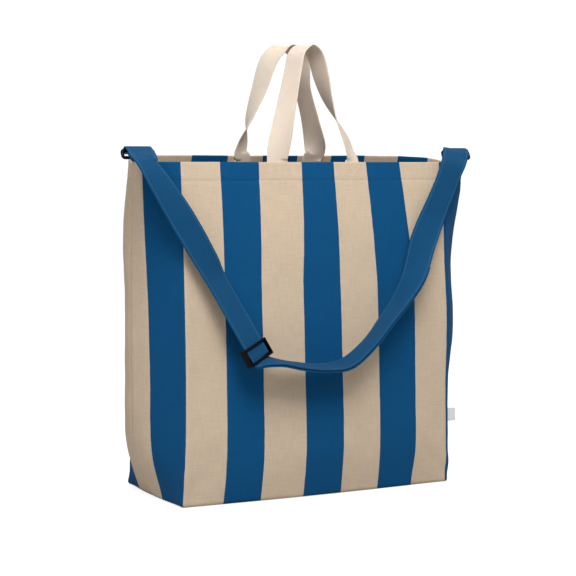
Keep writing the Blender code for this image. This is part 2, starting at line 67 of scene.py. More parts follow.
# Body: heights, and for each the y of the front face and back face and then the outline's
# points on a side: front corner, end of the blue stripe, nose, seam, stripe, back corner.
LEVELS = (
    (0.0006, -0.106, 0.103, (0.2100, -0.1000), (0.2135, -0.0420), (0.2140, -0.0200),
     (0.2140, 0.0000), (0.2135, 0.0420), (0.2100, 0.1000)),
    (0.0700, -0.116, 0.092, (0.2060, -0.1020), (0.2325, -0.0475), (0.2395, -0.0290),
     (0.2425, -0.0085), (0.2375, 0.0310), (0.2060, 0.0840)),
    (0.1700, -0.113, 0.085, (0.2045, -0.1015), (0.2355, -0.0500), (0.2435, -0.0320),
     (0.2480, -0.0120), (0.2410, 0.0280), (0.2050, 0.0770)),
    (0.2700, -0.108, 0.078, (0.2045, -0.0990), (0.2375, -0.0495), (0.2445, -0.0320),
     (0.2485, -0.0120), (0.2400, 0.0270), (0.2040, 0.0730)),
    (0.3700, -0.099, 0.056, (0.2035, -0.0920), (0.2430, -0.0530), (0.2475, -0.0370),
     (0.2490, -0.0170), (0.2430, 0.0220), (0.2000, 0.0520)),
    (0.4645, -0.0825, 0.024, (0.2030, -0.0835), (0.2530, -0.0695), (0.2575, -0.0570),
     (0.2530, -0.0310), (0.2400, 0.0040), (0.1960, 0.0200)),
)
BACK_RISE = 1.021               # the back panel stands this much taller
FRONT_MARKS = (0.21, 0.27, 0.29, 0.31, 0.35)    # s of the side points, seen from the front
BACK_MARKS = (0.21, 0.27, 0.31, 0.33, 0.35)     # and seen from the back
CORNER_ROUND = 0.015            # the corner's bend starts this far from it
TOP = LEVELS[-1][0]
HALF_CLOTH = 0.31               # from a panel's middle to its seam
STRIPE = 0.06
CLOTH = 0.0011                  # thickness of the canvas
HEM = 0.025                     # depth of the hem
HEM_CLOTH = 0.0021              # thickness of the hem
FOOT_ROUND = 0.005              # radius of the wall's turn into the base
GRID = 0.004                    # spacing of the cloth's mesh

# Carry handles: centreline points, each with the angle of the webbing's width about Z
WEBBING_WIDTH = 0.031
WEBBING = 0.0017
SEWN_LENGTH = 0.033
FRONT_HANDLE = (
    ((-0.0565, -0.0785, 0.4662), 0), ((-0.0465, -0.0750, 0.5090), -40),
    ((-0.0315, -0.0640, 0.5555), -60), ((-0.0190, -0.0550, 0.5930), -66),
    ((-0.0105, -0.0500, 0.6170), -66), ((0.0050, -0.0455, 0.6275), -65),
    ((0.0205, -0.0440, 0.6165), -68), ((0.0305, -0.0475, 0.5810), -74),
    ((0.0375, -0.0530, 0.5525), -92), ((0.0460, -0.0605, 0.5265), -116),
    ((0.0560, -0.0695, 0.5000), -134), ((0.0605, -0.0765, 0.4780), -150),
    ((0.0630, -0.0785, 0.4662), -176),
)
BACK_HANDLE = (
    ((-0.0650, 0.0195, 0.4758), -178), ((-0.0635, 0.0180, 0.4860), -162),
    ((-0.0600, 0.0150, 0.5040), -128), ((-0.0545, 0.0125, 0.5270), -96),
    ((-0.0415, 0.0080, 0.5665), -72), ((-0.0252, 0.0030, 0.6130), -56),
    ((-0.0030, -0.0005, 0.6285), -54), ((0.0205, 0.0005, 0.6120), -62),
    ((0.0268, 0.0045, 0.5725), -70),
    ((0.0425, 0.0105, 0.5255), -62), ((0.0530, 0.0165, 0.4935), -35),
    ((0.0555, 0.0195, 0.4758), 0),
)
STITCH_BOX = 0.024
FOOT_TURN = 100                 # degrees: a foot turned further than this is gathered
FOOT_GATHER = 0.36              # and loses this share of its width

# Rings, tabs and strap
RING_X = 0.2515
RING_INNER_WIDTH = 0.041
RING_WIRE = 0.0036              # thickness of the CAD's wire
RING_WIRE_DRAWN = RING_WIRE * 0.64      # radius of the wire that is shown, which is thicker
RING_BEND = 0.003
TAB_BAR = Vector((0.0, -0.0560, 0.4700))
STRAP_BAR = Vector((0.0, -0.0515, 0.4797))
TAB_X = 0.2435
TAB_WIDTH = 0.020
TAB_LENGTH = 0.024
TAB_CLOTH = 0.0014
TAB_BAR_RADIUS = 0.0031         # middle of the tab's cloth round the ring's lower bar
STRAP_WIDTH = 0.038
STRAP = 0.0024
STRAP_BAR_RADIUS = 0.0045       # middle of the strap's cloth round the ring's upper bar
PLY_SPACING = 0.0030            # between the middles of the strap's two plies
SLIDER_CENTRE = Vector((-0.1145, -0.1350, 0.2095))
SLIDER_RUN = Vector((0.435, -0.220, -0.873)).normalized()
SLIDER_ACROSS = Vector((0.860, 0.380, 0.333)).normalized()
STRAIGHT_ABOVE = 0.112          # the strap runs straight this far above the slider's centre
STRAIGHT_BELOW = 0.011          # and this far below it
STRAP_LEFT = (
    ((-0.2515, -0.0640, 0.4785), (1.00, 0.00, 0.00)),
    ((-0.2538, -0.0880, 0.4650), (0.84, 0.48, 0.22)),
    ((-0.2415, -0.0995, 0.4400), (0.84, 0.35, 0.36)),
    ((-0.2072, -0.1060, 0.3840), (0.89, 0.05, 0.43)),
    ((-0.1760, -0.1092, 0.3310), (0.88, 0.20, 0.40)),
)
STRAP_RIGHT = (
    ((-0.1000, -0.1425, 0.1990), (0.40, 0.90, 0.20)),
    ((-0.0860, -0.1435, 0.1968), (0.12, 0.98, 0.10)),
    ((-0.0585, -0.1425, 0.1905), (0.03, 0.99, 0.12)),
    ((-0.0181, -0.1395, 0.1850), (0.00, 0.98, 0.13)),
    ((0.0195, -0.1380, 0.1878), (-0.04, 0.98, 0.13)),
    ((0.0582, -0.1360, 0.2139), (-0.02, 0.99, 0.04)),
    ((0.0898, -0.1330, 0.2472), (-0.10, 0.98, 0.05)),
    ((0.1145, -0.1300, 0.2742), (-0.22, 0.95, 0.10)),
    ((0.1372, -0.1250, 0.3057), (-0.45, 0.85, 0.22)),
    ((0.1572, -0.1165, 0.3520), (-0.76, 0.55, 0.34)),
    ((0.1820, -0.1085, 0.3962), (-0.90, 0.10, 0.42)),
    ((0.2020, -0.1010, 0.4274), (-0.94, 0.00, 0.34)),
    ((0.2200, -0.0935, 0.4590), (-0.98, 0.00, 0.18)),
    ((0.2400, -0.0725, 0.4775), (-1.00, 0.00, 0.05)),
)
SLIDER_WIDTH = 0.0462
SLIDER_LENGTH = 0.0245
SLIDER_BAR = 0.0036             # width of the slider's rails and end bars
SLIDER_PLATE = 0.0024           # thickness of its end bars
SLIDER_FACE = 0.0027            # the end bars' middle lies this far in front of the long ply
CENTRE_BAR_DEPTH = 0.0060       # the slider's centre bar lies this far behind the long ply
LOOP_RADIUS = 0.0030
LOOP_STRETCH = -0.060           # x where the return ply starts to follow the slider

LABEL_HEIGHT = 0.020
LABEL_LENGTH = 0.042            # from just inside the seam to the tape's fold
LABEL_IN_SEAM = 0.002
LABEL_Z = 0.082

# Camera: where it looks, how far off it stands, its turn about Z, its tilt and its lens
LOOK_AT = Vector((0.0008, -0.0007, 0.2835))
CAMERA_DISTANCE = 2.3805
CAMERA_YAW = 27.24
CAMERA_TILT = 4.23
LENS = 103.2

# Lights: name, place, side of the square softbox and power in watts
LIGHTS = (
    ("key", (-0.34, -1.30, 1.85), 1.0, 34.5),
    ("top", (0.10, 0.30, 2.40), 1.4, 8.0),
    ("side fill", (-2.10, -0.55, 1.10), 1.2, 7.0),
)
FLOOR_GLOW = (0.02, 0.80)       # the floor's own light: as the bag gets it, as the camera sees it
WORLD_STRENGTH = (0.42, 1.05)   # the same two for the white background

BEIGE = (0.600, 0.475, 0.348)
BLUE = (0.0022, 0.0720, 0.1950)
STRAP_BLUE = (0.0026, 0.0600, 0.1520)
WEBBING_BEIGE = (0.680, 0.585, 0.485)
THREAD_BEIGE = (0.700, 0.600, 0.460)
THREAD_BLUE = (0.030, 0.130, 0.270)
LABEL_WHITE = (0.94, 0.94, 0.93)

# Cross-section of a flat strip: share of the half width, and share of the half thickness
STRIP_TOP = ((-1.0, 0.0), (-0.985, 0.62), (-0.94, 0.92), (-0.80, 1.0), (-0.50, 1.0), (-0.17, 1.0),
             (0.17, 1.0), (0.50, 1.0), (0.80, 1.0), (0.94, 0.92), (0.985, 0.62), (1.0, 0.0))
STRIP_SECTION = STRIP_TOP + tuple((-a, -b) for a, b in STRIP_TOP[1:-1])

UP = Vector((0.0, 0.0, 1.0))


# ---- curves and surfaces --------------------------------------------------------------------

def through(knots, values, at):
    """Smooth curve through values at the knots. Values may differ for each point of at."""
    knots = np.asarray(knots, float)
    at = np.asarray(at, float)
    values = np.asarray(values, float)
    values = np.broadcast_to(values, (len(at), *values.shape[-2:]))
    slopes = np.empty(values.shape)
    slopes[:, 1:-1] = (values[:, 2:] - values[:, :-2]) / (knots[2:] - knots[:-2])[None, :, None]
    slopes[:, 0] = (values[:, 1] - values[:, 0]) / (knots[1] - knots[0])
    slopes[:, -1] = (values[:, -1] - values[:, -2]) / (knots[-1] - knots[-2])
    row = np.arange(len(at))
    i = np.clip(np.searchsorted(knots, at, side="right") - 1, 0, len(knots) - 2)
    span = (knots[i + 1] - knots[i])[:, None]
    t = ((at - knots[i]) / span[:, 0])[:, None]
    start = (2 * t**3 - 3 * t**2 + 1) * values[row, i] + (t**3 - 2 * t**2 + t) * span * slopes[row, i]
    end = (3 * t**2 - 2 * t**3) * values[row, i + 1] + (t**3 - t**2) * span * slopes[row, i + 1]
    return start + end


def smooth_noise(points, seed):
    """Perlin noise from -1 to 1 at each point."""
    shift = Vector((seed * 7.31, seed * 3.77, seed * 1.93))
    return np.array([noise.noise(Vector(p) + shift) for p in points])


def wall(s, z, front):
    """The panel's middle surface before any wrinkle."""
    rows = np.array([[v for part in level for v in np.atleast_1d(part)] for level in LEVELS])
    level = through(rows[:, 0], rows[:, 1:], z)
    side = level[:, 2:].reshape(-1, 6, 2)
    marks = FRONT_MARKS
    if not front:
        side = side[:, ::-1]
        marks = BACK_MARKS
    middle = level[:, 0 if front else 1]
    corner = side[:, 0]
    face_marks = (-0.07, 0.0, 0.07, 0.14, marks[0] - CORNER_ROUND, marks[0])
    knots = [*face_marks, marks[0] + CORNER_ROUND, *marks[1:]]
    values = []
    for mark in face_marks:
        t = mark / marks[0]
        values.append(np.stack([t * corner[:, 0], middle + (corner[:, 1] - middle) * t * t], 1))
    share = CORNER_ROUND / (marks[1] - marks[0])
    values.append(corner + (side[:, 1] - corner) * share)
    values += [side[:, i] for i in range(1, 5)]
    flat = through(knots, np.stack(values, 1), np.abs(s))
    seam_y = side[:, 3 if front else 2, 1]
    high = np.zeros(len(z))
    if not front:
        high = np.clip((flat[:, 1] - seam_y) / (corner[:, 1] - seam_y), 0, 1)
    x = flat[:, 0] * np.sign(s)
    return np.stack([x, flat[:, 1], z * (1 + (BACK_RISE - 1) * high)], 1)


def wall_normals(s, z, front):
    """Outward normals of the plain surface."""
    step = 0.001
    along = wall(s + step, z, front) - wall(s - step, z, front)
    up = wall(s, z + step, front) - wall(s, z - step, front)
    normals = np.cross(along, up) * (1 if front else -1)
    return normals / np.linalg.norm(normals, axis=1)[:, None]


def bump(distance, width):
    """A smooth bump: 1 at no distance, nearly 0 beyond twice the width."""
    return np.exp(-(distance / width) ** 2)


def relief(s, z, front):
    """How far the cloth stands out of the plain surface: waves, puckers and creases."""
    seed = 1 if front else 2
    seam = HALF_CLOTH - np.abs(s)
    seam_calm = np.clip(seam / 0.016, 0, 1)
    edge_calm = np.clip((TOP - z) / 0.06, 0.25, 1)
    grid = np.stack([s, z, np.zeros(len(s))], 1)
    broad = 0.0030 * smooth_noise(grid * (6, 3, 1), seed) * edge_calm
    folds = 0.0012 * smooth_noise(grid * (20, 5, 1), seed + 2)
    fine = 0.0004 * smooth_noise(grid * (55, 45, 1), seed + 4)
    pucker = 0.0016 * smooth_noise(grid * (18, 52, 1), seed + 6) * bump(seam, 0.022)
    seam_line = -0.0016 * bump(seam, 0.0030)
    foot = np.exp(-z / 0.014) * (0.0011 * smooth_noise(grid * (60, 20, 1), seed + 8) - 0.0006)
    corner = np.hypot(np.abs(s) - FRONT_MARKS[0], z * 0.8)
    slant = grid * (30, 24, 1) + np.stack([z * 26, np.abs(s) * 20, z * 0], 1)
    creases = 0.0032 * smooth_noise(slant, seed + 10) * np.exp(-corner / 0.055)
    stitch = -0.0004 * bump(TOP - HEM - z, 0.0022)
    hem = 0.0004 * smooth_noise(grid * (90, 30, 1), seed + 12) * bump(TOP - HEM - z, 0.012)
    low = np.clip(FOOT_ROUND - z, 0, FOOT_ROUND)
    turn = FOOT_ROUND - np.sqrt(FOOT_ROUND**2 - low**2)
    waves = broad + folds + fine + pucker + foot + creases + hem
    if front:
        fullness = (1 + 0.3 * np.sin(z * 34)) * np.clip((TOP - z) / 0.04, 0.4, 1)
        fullness *= np.clip(0.3 + 3.5 * z, 0.3, 1)
        waves += 0.0080 * bump(s - 0.243, 0.036) * fullness
    return waves * seam_calm + seam_line + stitch - turn


def cloth(s, z, front):
    """Points and normals of a panel's outer face, wrinkles included."""
    s = np.asarray(s, float)
    z = np.asarray(z, float)
    normals = wall_normals(s, z, front)
    return wall(s, z, front) + normals * relief(s, z, front)[:, None], normals


def stripe_marks(s, z, front):
    """Where the stripes lie on the cloth: the front's wander a few millimetres off true."""
    if not front:
        return np.stack([s, z * BACK_RISE], -1)
    high = np.clip((z - 0.30) / 0.16, 0, 1)
    mouth = 0.005 * bump(s - 0.085, 0.05) - 0.009 * bump(s + 0.02, 0.045)
    mouth += 0.008 * bump(s - 0.155, 0.035)
    below = 0.005 * bump(s + 0.09, 0.03) - 0.0045 * bump(s - 0.15, 0.05)
    below += 0.006 * bump(s - 0.225, 0.03) + 0.007 * bump(s - 0.16, 0.05) * bump(z, 0.035)
    return np.stack([s + high * mouth + (1 - high) * below, z], -1)


def new_piece(name, vertices, faces, uvs, material):
    """A mesh with one UV map in metres, which the weave follows."""
    mesh = bpy.data.meshes.new(name)
    mesh.from_pydata([tuple(v) for v in vertices], [], faces)
    layer = mesh.uv_layers.new(name="cloth")
    loops = np.zeros(len(mesh.loops), np.int32)
    mesh.loops.foreach_get("vertex_index", loops)
    layer.data.foreach_set("uv", np.asarray(uvs, np.float32)[loops].ravel())
    mesh.shade_smooth()
    mesh.materials.append(material)
    piece = bpy.data.objects.new(name, mesh)
    bpy.context.scene.collection.objects.link(piece)
    return piece


def shell(name, outer, inner, uvs, material, flip=False):
    """A closed sheet between two grids of points."""
    rows, columns, _ = outer.shape
    count = rows * columns
    index = np.arange(count).reshape(rows, columns)
    quads = []
    for r in range(rows - 1):
        for c in range(columns - 1):
            a, b, d, e = index[r, c], index[r, c + 1], index[r + 1, c + 1], index[r + 1, c]
            quads.append((a, b, d, e))
            quads.append((e + count, d + count, b + count, a + count))
    for c in range(columns - 1):
        for a, b in ((index[0, c + 1], index[0, c]), (index[-1, c], index[-1, c + 1])):
            quads.append((a, b, b + count, a + count))
    for r in range(rows - 1):
        for a, b in ((index[r, 0], index[r + 1, 0]), (index[r + 1, -1], index[r, -1])):
            quads.append((a, b, b + count, a + count))
    faces = [tuple(int(i) for i in (q[::-1] if flip else q)) for q in quads]
    points = np.concatenate([outer.reshape(-1, 3), inner.reshape(-1, 3)])
    flat = uvs.reshape(-1, 2)
    return new_piece(name, points, faces, np.concatenate([flat, flat]), material)


def distances(points):
    """How far along a route each of its points lies."""
    return np.concatenate([[0], np.cumsum(np.linalg.norm(np.diff(points, axis=0), axis=1))])


def evenly(points, turns, step):
    """Points and width directions along a smooth route, one every step."""
    points = np.asarray(points, float)
    reach = distances(points)
    at = np.linspace(0, reach[-1], max(2, int(reach[-1] / step)))
    return through(reach, points, at), through(reach, np.asarray(turns, float), at)


def strip_frames(centres, widths):
    """Square frames along a route: the tangent, the width direction and the face's normal."""
    tangents = np.gradient(centres, axis=0)
    tangents /= np.linalg.norm(tangents, axis=1)[:, None]
    widths = widths - tangents * np.sum(widths * tangents, axis=1)[:, None]
    widths = widths / np.linalg.norm(widths, axis=1)[:, None]
    return tangents, widths, np.cross(tangents, widths)


def ribbon(name, centres, widths, width, thickness, material, camber=0.0, ripple=0.0):
    """A flat closed strip with rounded edges along a route. The width may vary along it."""
    width = np.broadcast_to(width, (len(centres),))[:, None]
    _, across, face = strip_frames(centres, widths)
    count = len(STRIP_SECTION)
    reach = distances(centres)
    wave = ripple * smooth_noise(np.stack([reach * 30, reach * 0, reach * 0], 1), 3)
    points = []
    uvs = []
    for a, b in STRIP_SECTION:
        lift = b * thickness / 2 + camber * (1 - a * a) + wave * (0.4 + 0.6 * a)
        points.append(centres + across * a * width / 2 + face * lift[:, None])
        uvs.append(np.stack([a * width[:, 0] / 2, reach], 1))
    points = np.stack(points, 1)
    uvs = np.stack(uvs, 1)
    faces = []
    for r in range(len(centres) - 1):
        for c in range(count):
            n = (c + 1) % count
            faces.append((r * count + c, r * count + n, (r + 1) * count + n, (r + 1) * count + c))
    last = (len(centres) - 1) * count
    faces.append(tuple(range(count))[::-1])
    faces.append(tuple(range(last, last + count)))
    piece = new_piece(name, points.reshape(-1, 3), faces, uvs.reshape(-1, 2), material)
    return facing_out(piece)


def facing_out(piece):
    """The same piece with all faces turned outwards."""
    shape = bmesh.new()
    shape.from_mesh(piece.data)
    bmesh.ops.recalc_face_normals(shape, faces=shape.faces)
    shape.to_mesh(piece.data)
    shape.free()
    return piece


def tube(name, path, radius, sides, material):
    """A closed loop of round wire."""
    path = np.asarray([tuple(p) for p in path], float)
    ahead = np.roll(path, -1, axis=0) - np.roll(path, 1, axis=0)
    ahead /= np.linalg.norm(ahead, axis=1)[:, None]
    centre = path.mean(axis=0)
    plane = np.cross(path[0] - centre, path[len(path) // 4] - centre)
    plane /= np.linalg.norm(plane)
    out = np.cross(ahead, plane)
    points = []
    for step in range(sides):
        a = 2 * math.pi * step / sides
        points.append(path + radius * (out * math.cos(a) + plane * math.sin(a)))
    points = np.stack(points, 1)
    faces = []
    for r in range(len(path)):
        n = (r + 1) % len(path)
        for c in range(sides):
            d = (c + 1) % sides
            faces.append((r * sides + c, r * sides + d, n * sides + d, n * sides + c))
    uvs = np.zeros((len(path) * sides, 2))
    return facing_out(new_piece(name, points.reshape(-1, 3), faces, uvs, material))


def sample(reach, values, at):
    """Values of a run at one distance along it."""
    return np.array([np.interp(at, reach, values[:, k]) for k in range(values.shape[1])])


def stitches(name, runs, material, length=0.0030, gap=0.0012, radius=0.00036):
    """Separate stitches along runs of surface points, normals and cloth coordinates."""
    sides = 6
    profile = ((0.0, 0.15), (0.12, 0.75), (0.35, 1.0), (0.65, 1.0), (0.88, 0.75), (1.0, 0.15))
    vertices = []
    faces = []
    uvs = []
    for points, normals, *marks in runs:
        marks = marks[0] if marks else np.zeros((len(points), 2))
        reach = distances(points)
        starts = np.arange(gap / 2, reach[-1] - length, length + gap)
        for start in starts:
            base = len(vertices)
            for share, size in profile:
                at = start + share * length
                centre = sample(reach, points, at)
                out = sample(reach, normals, at)
                ahead = sample(reach, points, at + 0.0004) - centre
                uvs += [sample(reach, marks, at)] * sides
                side = np.cross(ahead, out)
                side /= max(np.linalg.norm(side), 1e-9)
                centre = centre + out * radius * (0.9 * size - 0.3)
                for step in range(sides):
                    a = 2 * math.pi * step / sides
                    vertices.append(centre + radius * size * (side * math.cos(a) + out * math.sin(a)))
            for ring in range(len(profile) - 1):
                for step in range(sides):
                    n = (step + 1) % sides
                    a = base + ring * sides
                    faces.append((a + step, a + n, a + n + sides, a + step + sides))
            faces.append(tuple(base + step for step in range(sides))[::-1])
            last = base + (len(profile) - 1) * sides
            faces.append(tuple(last + step for step in range(sides)))
    return facing_out(new_piece(name, vertices, faces, uvs, material))


# ---- materials ------------------------------------------------------------------------------

class Graph:
    """A short way to write a material's nodes."""

    def __init__(self, name):
        self.material = bpy.data.materials.new(name)
        self.material.use_nodes = True
        self.tree = self.material.node_tree
        self.shader = self.tree.nodes["Principled BSDF"]

    def put(self, value, socket):
        """Link a socket, or set a plain value."""
        if isinstance(value, bpy.types.NodeSocket):
            self.tree.links.new(value, socket)
        elif value is not None:
            socket.default_value = value

    def node(self, kind, output=0, inputs=(), **settings):
        """Add a node and return one of its outputs."""
        made = self.tree.nodes.new(kind)
        for name, value in settings.items():
            setattr(made, name, value)
        for index, value in inputs:
            self.put(value, made.inputs[index])
        return made.outputs[output]

    def math(self, operation, a, b=None):
        return self.node("ShaderNodeMath", inputs=((0, a), (1, b)), operation=operation)

    def mix(self, share, a, b):
        return self.node("ShaderNodeMix", output=2, data_type="RGBA",
                         inputs=((0, share), (6, a), (7, b)))

    def uv(self):
        """Cloth coordinates in metres: across, along."""
        place = self.node("ShaderNodeUVMap", uv_map="cloth")
        split = self.tree.nodes.new("ShaderNodeSeparateXYZ")
        self.put(place, split.inputs[0])
        return split.outputs[0], split.outputs[1]

    def grain(self, x, y, detail=2.0):
        """Noise from 0 to 1 at the given stretched coordinates."""
        place = self.node("ShaderNodeCombineXYZ", inputs=((0, x), (1, y)))
        return self.node("ShaderNodeTexNoise", inputs=(("Vector", place), ("Scale", 1.0),
                                                       ("Detail", detail)))

    def spread(self, value, low, high):
        """A 0 to 1 value moved to low to high."""
        return self.node("ShaderNodeMapRange", inputs=((0, value), (1, 0.25), (2, 0.75),
                                                       (3, low), (4, high)))

    def shade(self, colour, factor):
        """A colour made lighter or darker by a factor."""
        grey = self.node("ShaderNodeCombineColor", inputs=((0, factor), (1, factor), (2, factor)))
        return self.node("ShaderNodeMix", output=2, data_type="RGBA", blend_type="MULTIPLY",
                         inputs=((0, 1.0), (6, colour), (7, grey)))

    def bump(self, height, strength, distance):
        """Let a height tilt the surface's normal."""
        normal = self.node("ShaderNodeBump", inputs=(("Strength", strength), ("Distance", distance),
                                                     ("Height", height)))
        self.put(normal, self.shader.inputs["Normal"])

    def finish(self, roughness, sheen=0.0, specular=0.3):
        """Set how the surface reflects and return the material."""
        self.shader.inputs["Roughness"].default_value = roughness
        self.shader.inputs["Specular IOR Level"].default_value = specular
        self.shader.inputs["Sheen Weight"].default_value = sheen
        self.shader.inputs["Sheen Roughness"].default_value = 0.5
        return self.material


def weave(graph, across, along, pitch):
    """Height of a plain weave, and the slubs of its yarns, both near 0 to 1."""
    turn = 2 * math.pi / pitch
    warp = graph.math("SINE", graph.math("MULTIPLY", across, turn))
    weft = graph.math("SINE", graph.math("MULTIPLY", along, turn))
    knots = graph.math("MULTIPLY", warp, weft)
    tall = graph.grain(graph.math("MULTIPLY", across, 700.0), graph.math("MULTIPLY", along, 45.0))
    wide = graph.grain(graph.math("MULTIPLY", across, 45.0), graph.math("MULTIPLY", along, 700.0))
    slubs = graph.math("MULTIPLY", graph.math("ADD", tall, wide), 0.5)
    height = graph.math("ADD", graph.math("MULTIPLY", knots, 0.35), slubs)
    return height, slubs


def clouds(graph, across, along, scale):
    """Broad soft patches, for cloth that is not evenly dyed."""
    return graph.grain(graph.math("MULTIPLY", across, scale), graph.math("MULTIPLY", along, scale))


def striped_canvas():
    """Beige and blue stripes woven into the canvas, with slightly uneven edges."""
    graph = Graph("striped_canvas")
    across, along = graph.uv()
    height, slubs = weave(graph, across, along, 0.0012)
    wander = graph.grain(graph.math("MULTIPLY", along, 90.0), graph.math("MULTIPLY", across, 12.0))
    edge = graph.math("ADD", graph.math("ABSOLUTE", across), STRIPE / 2 - 0.0004)
    edge = graph.math("ADD", edge, graph.math("MULTIPLY", wander, 0.0008))
    blue = graph.math("LESS_THAN", graph.math("MODULO", edge, 2 * STRIPE), STRIPE)
    fade = clouds(graph, across, along, 14.0)
    beige_yarn = graph.shade((*BEIGE, 1), graph.spread(slubs, 0.86, 1.10))
    blue_yarn = graph.shade((*BLUE, 1), graph.spread(slubs, 0.88, 1.10))
    colour = graph.mix(blue, beige_yarn, blue_yarn)
    graph.put(graph.shade(colour, graph.spread(fade, 0.97, 1.02)), graph.shader.inputs["Base Color"])
    graph.bump(height, 0.45, 0.0004)
    return graph.finish(0.90, sheen=0.03, specular=0.10)


def plain_canvas(name, colour, pitch, contrast, sheen):
    """Woven cotton of one colour."""
    graph = Graph(name)
    across, along = graph.uv()
    height, slubs = weave(graph, across, along, pitch)
    fade = clouds(graph, across, along, 25.0)
    base = graph.shade((*colour, 1), graph.spread(slubs, 1 - contrast, 1 + contrast))
    graph.put(graph.shade(base, graph.spread(fade, 0.96, 1.03)), graph.shader.inputs["Base Color"])
    graph.bump(height, 0.35, 0.0003)
    return graph.finish(0.88, sheen=sheen, specular=0.12)


def folded_strap():
    """Strap canvas with a line of topstitching near each edge."""
    graph = Graph("strap_canvas")
    across, along = graph.uv()
    height, slubs = weave(graph, across, along, 0.0011)
    from_edge = graph.math("SUBTRACT", STRAP_WIDTH / 2 - 0.0030, graph.math("ABSOLUTE", across))
    line = graph.math("LESS_THAN", graph.math("ABSOLUTE", from_edge), 0.0004)
    dash = graph.math("LESS_THAN", graph.math("MODULO", along, 0.0036), 0.0027)
    thread = graph.math("MULTIPLY", line, dash)
    fade = clouds(graph, across, along, 22.0)
    base = graph.shade((*STRAP_BLUE, 1), graph.spread(slubs, 0.90, 1.10))
    base = graph.shade(base, graph.spread(fade, 0.94, 1.05))
    colour = graph.mix(thread, base, (*THREAD_BLUE, 1))
    graph.put(colour, graph.shader.inputs["Base Color"])
    groove = graph.math("MULTIPLY", line, 0.9)
    raised = graph.math("ADD", height, graph.math("SUBTRACT", thread, groove))
    graph.bump(raised, 0.40, 0.0004)
    return graph.finish(0.85, sheen=0.04, specular=0.14)


def lacquered_metal(name):
    """Near-black lacquer with faint wear."""
    graph = Graph(name)
    place = graph.node("ShaderNodeTexCoord", output=3)
    speckle = graph.node("ShaderNodeTexNoise", inputs=(("Vector", place), ("Scale", 900.0)))
    wear = graph.node("ShaderNodeTexNoise", inputs=(("Vector", place), ("Scale", 120.0)))
    colour = graph.mix(graph.spread(wear, 0.0, 0.5), (0.0006, 0.0009, 0.0050, 1),
                       (0.0016, 0.0020, 0.0080, 1))
    graph.put(colour, graph.shader.inputs["Base Color"])
    graph.put(graph.spread(wear, 0.34, 0.50), graph.shader.inputs["Roughness"])
    graph.bump(speckle, 0.12, 0.0001)
    graph.shader.inputs["Specular IOR Level"].default_value = 0.12
    return graph.material


def twisted_thread(name, colour):
    """Sewing thread with fine fibres."""
    graph = Graph(name)
    place = graph.node("ShaderNodeTexCoord", output=3)
    fibres = graph.node("ShaderNodeTexNoise", inputs=(("Vector", place), ("Scale", 2500.0)))
    base = graph.shade((*colour, 1), graph.spread(fibres, 0.88, 1.08))
    graph.put(base, graph.shader.inputs["Base Color"])
    graph.bump(fibres, 0.3, 0.0002)
    return graph.finish(0.7, sheen=0.1, specular=0.3)


def let_light_in(material):
    """Light spreads a little inside the material, red the furthest."""
    shader = material.node_tree.nodes["Principled BSDF"]
    shader.inputs["Subsurface Weight"].default_value = 0.5
    shader.inputs["Subsurface Radius"].default_value = (1.0, 0.5, 0.3)
    shader.inputs["Subsurface Scale"].default_value = 0.0025


MATERIALS = {}


def make_materials():
    """Fill MATERIALS, which the makers of the pieces read."""
    MATERIALS["canvas"] = striped_canvas()
    MATERIALS["webbing"] = plain_canvas("webbing", WEBBING_BEIGE, 0.0009, 0.035, 0.04)
    let_light_in(MATERIALS["webbing"])
    MATERIALS["strap"] = folded_strap()
    MATERIALS["metal"] = lacquered_metal("lacquered_metal")
    MATERIALS["thread"] = twisted_thread("beige_thread", THREAD_BEIGE)
    MATERIALS["blue_thread"] = twisted_thread("blue_thread", THREAD_BLUE)
    MATERIALS["label"] = plain_canvas("label_weave", LABEL_WHITE, 0.0005, 0.02, 0.2)


# ---- the bag --------------------------------------------------------------------------------

def steps(low, high, spacing):
    """Even values from low to high, about one every spacing."""
    return np.linspace(low, high, int(round((high - low) / spacing)) + 1)


def cloth_rows():
    """Heights of the panel's mesh rows, closer at the foot and round the hem."""
    foot = 0.0008 + np.array([0.0, 0.0006, 0.0014, 0.0026, 0.0044])
    hem = TOP - HEM
    plain = steps(0.0075, hem - 0.006, GRID)
    near_hem = [hem - 0.0030, hem - 0.0008, hem + 0.0008, hem + 0.0030]
    above = steps(hem + 0.006, TOP - 0.003, GRID)
    edge = [TOP - 0.0011, TOP - 0.0003, TOP]
    return np.concatenate([foot, plain, near_hem, above, edge])


def cloth_columns():
    """Places across the panel of the mesh columns, closer at the seams."""
    middle = steps(-HALF_CLOTH + 0.006, HALF_CLOTH - 0.006, GRID)
    end = np.array([HALF_CLOTH - 0.003, HALF_CLOTH - 0.001, HALF_CLOTH])
    return np.concatenate([-end[::-1], middle, end])


def make_panel(name, front):
    """One canvas panel with its turned hem, from seam to seam."""
    s, z = np.meshgrid(cloth_columns(), cloth_rows())
    flat_s, flat_z = s.ravel(), z.ravel()
    points, normals = cloth(flat_s, flat_z, front)
    hem = np.clip((flat_z - (TOP - HEM)) / 0.0016 + 0.5, 0, 1)
    thickness = CLOTH + (HEM_CLOTH - CLOTH) * hem
    edge = np.clip((TOP - flat_z) / 0.0011, 0, 1)
    pinch = 0.32 * (1 - np.sqrt(1 - (1 - edge) ** 2))
    outer = points - normals * (thickness * pinch)[:, None]
    inner = points - normals * (thickness * (1 - pinch))[:, None]
    rows, columns = s.shape
    uvs = stripe_marks(s, z, front)
    panel = shell(name, outer.reshape(rows, columns, 3), inner.reshape(rows, columns, 3), uvs,
                  MATERIALS["canvas"], flip=not front)
    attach(panel, "bag")
    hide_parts(name)
    return panel


